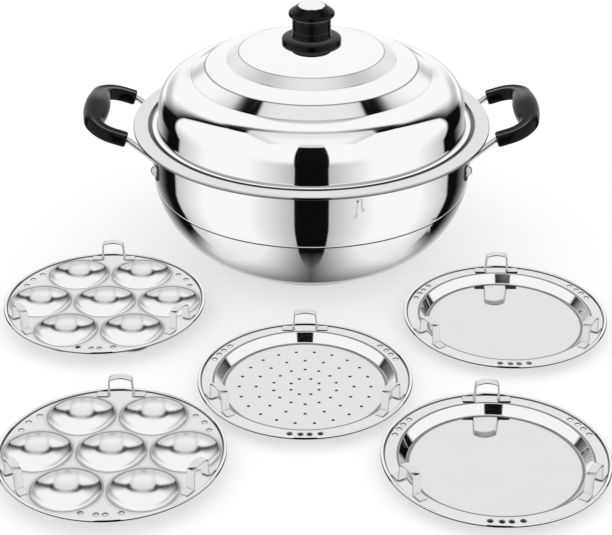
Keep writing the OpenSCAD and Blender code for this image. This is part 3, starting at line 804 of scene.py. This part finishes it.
PLATE_R = 92 * MM
PLATE_BEAD = 1.4 * MM
SHEET = 1 * MM
SUPPORT = 0.5 * MM
EDGE_R = PLATE_R - PLATE_BEAD
CAVITY_R = 27.5 * MM
PITCH = 59 * MM
LAND_Z = {name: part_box(name)[1].z - 2 * PLATE_BEAD + SHEET for name in PLATES}
IDLI_Z = LAND_Z["idli_plate_1"]
CAVITY_DEPTH = IDLI_Z - SHEET
SPHERE_R = (CAVITY_R ** 2 + CAVITY_DEPTH ** 2) / (2 * CAVITY_DEPTH)
VENT_R = 2.2 * MM
HOLE_R = 1.5 * MM
DISH_FLOOR_R, DISH_MOUTH_R = 71 * MM, 77.5 * MM
HOLE_RINGS = [(8, 13, 22.5), (14, 27.5, 0), (16, 42, 0), (22, 56.5, 8)]


def around(c, r, degrees):
    """The point at r from c, turned by degrees from the +X side."""
    a = math.radians(degrees)
    return Vector((c[0] + r * math.cos(a), c[1] + r * math.sin(a)))


def cups_of(c):
    """Centres of an idli plate's seven cavities."""
    return [c] + [around(c, PITCH, 60 * k) for k in range(6)]


def idli_vents(c):
    """Centres of an idli plate's vents: three at each rear side, and four in front."""
    at_r = PLATE_R - 9 * MM
    out = []
    for turn in (30, 150):
        for i in (-1, 0, 1):
            local = Vector((at_r - abs(i) * 2 * MM, i * 12 * MM))
            out.append(c + Matrix.Rotation(math.radians(-turn), 2).transposed() @ local)
    for x in (15.5 * MM, 3.5 * MM):
        out += [c + Vector((s * x, 0.15 * x - at_r)) for s in (-1, 1)]
    return out


def ledge_vents(c):
    """Centres of the vents in the ledge of a dish plate, in three groups of four."""
    at_r = (DISH_MOUTH_R + PLATE_R) / 2
    return [around(c, at_r, turn + a) for turn in (30, 150, 270) for a in (-8.5, -2.5, 2.5, 8.5)]


for plate in PLATES:
    land_z = LAND_Z[plate]
    bead_z = land_z - SHEET + PLATE_BEAD
    # Painted shade at the bead's inner foot and outer edge; the land is painted greyer, as painted
    # reflection
    edges = [(EDGE_R - 1.5 * MM, land_z + 0.2 * MM, 0.4 * MM, 1.3 * MM, 0.85),
             (PLATE_R, bead_z - 0.6 * MM, 0.7 * MM, 1.5 * MM, 0.9)]
    painted_grey_levels = [(land_z, 0.15 * MM, 0.6 * MM, 0.86)]
    hollow = {}
    if plate.startswith("idli"):
        hollow["cups"] = cups_of(centre_of(plate))
        # Painted shade round each cavity's rim and down inside it
        hollow["cup_rings"] = [(CAVITY_R + 0.6 * MM, land_z, 0.2 * MM, 1 * MM, 0.45),
                               (CAVITY_R, land_z - 2 * MM, 0.5 * MM, 6 * MM, 0.32)]
        hollow["cup_satin"] = 0.09
        hollow["pips"] = idli_vents(centre_of(plate))
    else:
        # Painted shade at the dish's mouth and at the foot of its wall; its floor is painted
        # greyer, as painted reflection
        edges.append((DISH_MOUTH_R + 0.8 * MM, land_z, 0.4 * MM, 1.3 * MM, 0.7))
        edges.append((DISH_FLOOR_R - 1 * MM, SHEET, 0.5 * MM, 2 * MM, 0.7))
        hollow["pips"] = ledge_vents(centre_of(plate))
        painted_grey_levels.append((SHEET, 0.15 * MM, 0.8 * MM, 0.84))
    mats[plate] = polished(f"{plate}_steel", centre_of(plate), PLATE_STEEL, 0.03, 0.08, 0.12, edges,
                           painted_grey_levels, painted_corner_shade=True, **hollow)


def with_bead(sheet, c, land_z):
    """Adds the rolled bead to a finished sheet."""
    bm = bmesh.new()
    bm.from_mesh(sheet.data)
    bead = arc((EDGE_R, land_z - SHEET + PLATE_BEAD), PLATE_BEAD, 0, 360, 20)[:-1]
    add_rings(bm, bead, c, closed=True)
    bmesh.ops.recalc_face_normals(bm, faces=bm.faces)
    bm.to_mesh(sheet.data)
    bm.free()
    sheet.data.shade_smooth()
    sheet.data.set_sharp_from_angle(angle=SHARP)
    return sheet


def idli_skin(name):
    """An idli plate: a flat sheet with seven cavities pressed into it."""
    c = centre_of(name)
    bm = bmesh.new()
    centres = cups_of(c)
    sphere_z = IDLI_Z - CAVITY_DEPTH + SPHERE_R
    edge_deg = math.degrees(math.asin(CAVITY_R / SPHERE_R))
    cup = arc((0, sphere_z), SPHERE_R, -90, -90 + edge_deg, 3.2)
    mouth = rounded([
        (*cup[-2], 0), (CAVITY_R, IDLI_Z, 1.3 * MM), (CAVITY_R + 1.1 * MM - SUPPORT, IDLI_Z, 0),
        (CAVITY_R + 1.1 * MM, IDLI_Z, 0),
    ], 8)
    for middle in centres:
        add_rings(bm, cup[:-2] + mouth, middle, CAVITY_TURNS)
    holes = [(middle, CAVITY_R + 1.1 * MM, CAVITY_TURNS) for middle in centres]
    holes += [(v, VENT_R, HOLE_TURNS) for v in idli_vents(c)]
    add_flat(bm, IDLI_Z, c, EDGE_R, TURNS, holes)
    sheet = thickened(to_object(f"{name}_skin", bm, upward=True), SHEET)
    return finish(with_bead(sheet, c, LAND_Z[name]), name, "plate_steel", mats[name], name)


def dish_skin(name, perforated):
    """A dish plate: a floor, with or without steam holes, a slanted wall and a ledge."""
    c = centre_of(name)
    bm = bmesh.new()
    floor_z, land_z = SHEET, LAND_Z[name]
    wall = rounded([
        (DISH_FLOOR_R - 3 * MM - SUPPORT, floor_z, 0), (DISH_FLOOR_R - 3 * MM, floor_z, 0),
        (DISH_FLOOR_R, floor_z, 2.6 * MM), (DISH_MOUTH_R, land_z, 1.5 * MM),
        (DISH_MOUTH_R + 1.4 * MM, land_z, 0), (DISH_MOUTH_R + 1.4 * MM + SUPPORT, land_z, 0),
    ], 8)
    add_rings(bm, wall, c)
    holes = []
    if perforated:
        for count, r, first in HOLE_RINGS:
            turns = [-90 + first + 360 * k / count for k in range(count)]
            holes += [(around(c, r * MM, a), HOLE_R, HOLE_TURNS) for a in turns]
    add_flat(bm, floor_z, c, wall[0][0], TURNS, holes)
    ledge = [(c, wall[-1][0], TURNS)] + [(v, VENT_R, HOLE_TURNS) for v in ledge_vents(c)]
    add_flat(bm, land_z, c, EDGE_R, TURNS, ledge)
    sheet = thickened(to_object(f"{name}_skin", bm, upward=True), SHEET)
    return finish(with_bead(sheet, c, LAND_Z[name]), name, "plate_steel", mats[name], name)


# Loops on the plates

LOOP_H = 19 * MM
LOOP_HALF, FOOT_HALF = 11 * MM, 20 * MM
CROWN_R, CORNER_R = 20 * MM, 2 * MM
STRAP_W, STRAP_T = 7.5 * MM, 1.2 * MM
LOOP_AT = 82.25 * MM


def loop_skin(plate, i):
    """A strap bent into a loop: two feet, two legs and a curved crown."""
    name = f"{plate}_loop_{i}"
    c = centre_of(plate)
    turn = math.radians(90 + 120 * (i - 1))
    middle = c + Vector((math.cos(turn), math.sin(turn))) * LOOP_AT
    along = Vector((-math.sin(turn), math.cos(turn), 0))
    radial = Vector((math.cos(turn), math.sin(turn), 0))
    half = STRAP_T / 2
    crown_c = (0, LOOP_H - CROWN_R)
    turn_end = math.degrees(math.asin((LOOP_HALF - 1 * MM - CORNER_R) / (CROWN_R - CORNER_R)))
    crown = arc(crown_c, CROWN_R - half, 90, 90 - turn_end, 4)
    corner_c = ((CROWN_R - CORNER_R) * math.sin(math.radians(turn_end)),
                crown_c[1] + (CROWN_R - CORNER_R) * math.cos(math.radians(turn_end)))
    corner = arc(corner_c, CORNER_R - half, 90 - turn_end, 2, 12)
    foot = rounded([(*corner[-1], 0), (LOOP_HALF - half, half, 2 * MM), (FOOT_HALF, half, 0)], 10)
    right = crown + corner[1:] + foot[1:]
    line = [(-x, z) for x, z in right[::-1]][:-1] + right
    path = [Vector((middle.x, middle.y, LAND_Z[plate] + z)) + along * x for x, z in line]
    bm = bmesh.new()
    shape = rounded_box(STRAP_W, STRAP_T, 0.45 * MM)
    add_sweep(bm, path, radial, lambda i: [(t, w) for w, t in shape])
    piece = to_object(f"{name}_skin", bm)
    # In the photo, the plain dishes' floors show their back loops
    back_of_dish = i == 1 and plate.startswith("dish")
    return finish(piece, plate, "plate_steel", mats["loop_steel"], name, reflected=back_of_dish)


# Studio: floor, world and camera

# Turns at which the slit between the softboxes ends and the light begins
SLIT = (11.8, 12.8)
# Light of the dark gaps in reflections, and of the fill on what is dull
DARK = 0.004
FILL = 1.15
# Share of the floor that is plain white to the camera
FLOOR_GLOW = 0.5
CAMERA_AT = (-0.0052, -1.496, 0.792)
CAMERA_DOWN = 28.74
LENS = 100.0


def floor():
    """A white floor with painted shadow, which goes dark only in the narrow gaps under the pieces.
    """
    mesh = bpy.data.meshes.new("floor")
    size, z = 12.0, -0.2 * MM
    corners = [(-size, -size, z), (size, -size, z), (size, size, z), (-size, size, z)]
    mesh.from_pydata(corners, [], [(0, 1, 2, 3)])
    obj = bpy.data.objects.new("floor", mesh)
    bpy.context.scene.collection.objects.link(obj)
    mat = bpy.data.materials.new("floor")
    mat.use_nodes = True
    add = node_maker(mat.node_tree)
    links = mat.node_tree.links
    shader = mat.node_tree.nodes["Principled BSDF"]
    shader.inputs["Roughness"].default_value = 1.0
    shader.inputs["Specular IOR Level"].default_value = 0.0
    # Painted shadow: the floor's colour and glow go dark where a piece is close above it
    close = add("ShaderNodeAmbientOcclusion", None, 4 * MM, samples=8)
    painted_shadow_factor = soft(add, close.outputs["AO"], 0.55, 0.95, 0.02, 0.97)
    grey = add("ShaderNodeCombineColor", painted_shadow_factor, painted_shadow_factor, painted_shadow_factor).outputs[0]
    links.new(grey, shader.inputs["Base Color"])
    glow = add("ShaderNodeEmission", (1, 1, 1, 1), painted_shadow_factor)
    to_camera = add("ShaderNodeLightPath").outputs["Is Camera Ray"]
    share = maths(add, "MULTIPLY", to_camera, FLOOR_GLOW)
    both = add("ShaderNodeMixShader", share, shader.outputs[0], glow.outputs[0])
    links.new(both.outputs[0], mat.node_tree.nodes["Material Output"].inputs[0])
    mesh.materials.append(mat)
    obj.visible_glossy = False
    return obj


def world():
    """White to the camera and for light, and a studio of panels and gaps for reflections.

    A direction is told by its turn, in degrees from the camera's side, and by its fall, in degrees
    from straight up. Over the pot it is told by its place on a flat ceiling: out, near or far.
    """
    studio = bpy.data.worlds.new("studio")
    bpy.context.scene.world = studio
    studio.use_nodes = True
    tree = studio.node_tree
    add = node_maker(tree)

    def calc(kind, *values):
        return maths(add, kind, *values)

    def ramp(value, low, high, start=0.0, end=1.0):
        return add("ShaderNodeMapRange", value, low, high, start, end).outputs[0]

    def step(value, low, high):
        return soft(add, value, low, high, 0.0, 1.0)

    def less(value, low, high):
        return calc("SUBTRACT", 1.0, step(value, low, high))

    def product(*values):
        out = values[0]
        for value in values[1:]:
            out = calc("MULTIPLY", out, value)
        return out

    def dim(value, *shares):
        """The value, less the product of the shares of it."""
        return product(value, calc("SUBTRACT", 1.0, product(*shares)))

    def blend(value, other, share):
        mix = add("ShaderNodeMix", None, None, value, other)
        if isinstance(share, float):
            mix.inputs[0].default_value = share
        else:
            tree.links.new(share, mix.inputs[0])
        return mix.outputs[0]

    way = add("ShaderNodeSeparateXYZ", add("ShaderNodeTexCoord").outputs["Generated"])
    x, y, z = way.outputs
    side = calc("ABSOLUTE", x)
    near = product(y, -1.0)
    flat = calc("SQRT", calc("ADD", product(x, x), product(y, y)))
    turn = product(calc("ARCTAN2", side, near), math.degrees(1))
    fall = calc("SUBTRACT", 90.0, product(calc("ARCTAN2", z, flat), math.degrees(1)))
    up = calc("MAXIMUM", z, 0.001)
    out, forth, back = calc("DIVIDE", side, up), calc("DIVIDE", near, up), calc("DIVIDE", y, up)

    # The two softboxes on the camera's side, greyer low down and next to the slit between them
    low = product(ramp(turn, 13, 46, 0.52, 1.0), ramp(turn, 84, 112, 1.0, 0.62))
    level = blend(1.0, low, ramp(fall, 88, 104))
    panel_end = calc("ADD", ramp(fall, 24, 36, 88, 104), ramp(fall, 36, 70, 0, 11))
    past = calc("SUBTRACT", turn, panel_end)
    panels = product(step(turn, *SLIT), less(past, -2.0, 2.0), level)

    # The backdrop, behind a dark band that widens from the ceiling down to the floor
    low_turn = ramp(fall, 108, 116)
    dark_end = calc("SUBTRACT", ramp(fall, 78, 93, 114, 138), product(low_turn, 12.0))
    light_from = calc("ADD", ramp(fall, 35, 80, 127, 149), product(low_turn, 16.0))
    light_from = calc("MAXIMUM", light_from, calc("ADD", dark_end, 5.0))
    backdrop = product(step(turn, dark_end, light_from), calc("GREATER_THAN", turn, 114.0))
    backdrop = dim(backdrop, step(fall, 96, 102), less(fall, 140, 150),
                   ramp(turn, 150, 172, 0.5, 0.4))
    backdrop = dim(backdrop, step(fall, 70, 80), less(fall, 86, 91), less(turn, 152, 168), 0.4)
    sky = calc("MAXIMUM", panels, backdrop)

    # The ceiling panel, with a dark gap at its far edge
    wide = calc("ADD", out, product(calc("MAXIMUM", back, 0.0), 0.6))
    ceiling = product(less(wide, 0.5, 0.56), less(forth, 0.56, 0.62), less(back, 0.27, 0.32))
    ceiling_level = dim(ramp(forth, -0.3, 0.3, 0.76, 0.97), step(out, 0.3, 0.55), 0.25)
    sky = blend(sky, ceiling_level, ceiling)
    sky = dim(sky, less(out, 0.55, 0.72), step(back, 0.2, 0.26), less(back, 0.36, 0.5),
              ramp(out, 0.12, 0.4, 0.42, 0.95))

    # The grey panel between the softboxes, above the slit
    sky = calc("MAXIMUM", sky, product(less(turn, 11.8, 13.5), less(fall, 38, 41), 0.74))

    # The ground, dark under the pot
    ground = product(ramp(side, 0.0, 0.4, 0.1, 0.9), ramp(y, 0.0, 0.6, 1.0, 0.75))
    slit_left = ramp(fall, 148, 176, 0.98, 0.0)
    ground = dim(ground, less(turn, *SLIT), slit_left)
    sky = blend(sky, ground, step(fall, 132, 146))

    light = calc("MAXIMUM", sky, DARK)
    seen = tree.nodes["Background"]
    seen.inputs[0].default_value = (1, 1, 1, 1)
    grey = add("ShaderNodeCombineColor", light, light, light).outputs[0]
    mirror = add("ShaderNodeBackground", grey, 1.0)
    fill = add("ShaderNodeBackground", (1, 1, 1, 1), FILL)
    path = add("ShaderNodeLightPath")
    direct = calc("MAXIMUM", path.outputs["Is Camera Ray"], path.outputs["Is Transmission Ray"])
    first = add("ShaderNodeMixShader", path.outputs["Is Glossy Ray"], fill.outputs[0],
                mirror.outputs[0])
    last = add("ShaderNodeMixShader", direct, first.outputs[0], seen.outputs[0])
    tree.links.new(last.outputs[0], tree.nodes["World Output"].inputs[0])


def camera():
    data = bpy.data.cameras.new("camera")
    data.lens = LENS
    data.sensor_width = 36.0
    obj = bpy.data.objects.new("camera", data)
    obj.location = CAMERA_AT
    obj.rotation_euler = (math.radians(90 - CAMERA_DOWN), 0, 0)
    bpy.context.scene.collection.objects.link(obj)
    bpy.context.scene.camera = obj


# The set

camera()
floor()
world()
bpy.context.scene.view_settings.view_transform = "Standard"

pot_skin()
base_skin()
lid_skin()
knob_skins()
for side in (-1, 1):
    grip_skin(side)
    rod_skin(side)
    rivet_skins(side)
for plate in PLATES:
    if plate.startswith("idli"):
        idli_skin(plate)
    else:
        dish_skin(plate, plate == "steamer_plate")
    for i in (1, 2, 3):
        loop_skin(plate, i)

# Pieces that no side shows keep their solids, with a material
for node, mat in [("base_core", "aluminium_core"), ("knob_insert", "brass"),
                  ("knob_screw", "rivet_steel"), ("knob_washer", "rivet_steel")]:
    mesh = frame["nodes"][node].data
    mesh.materials.clear()
    mesh.materials.append(mats[mat])
    frame["nodes"][node].visible_glossy = False
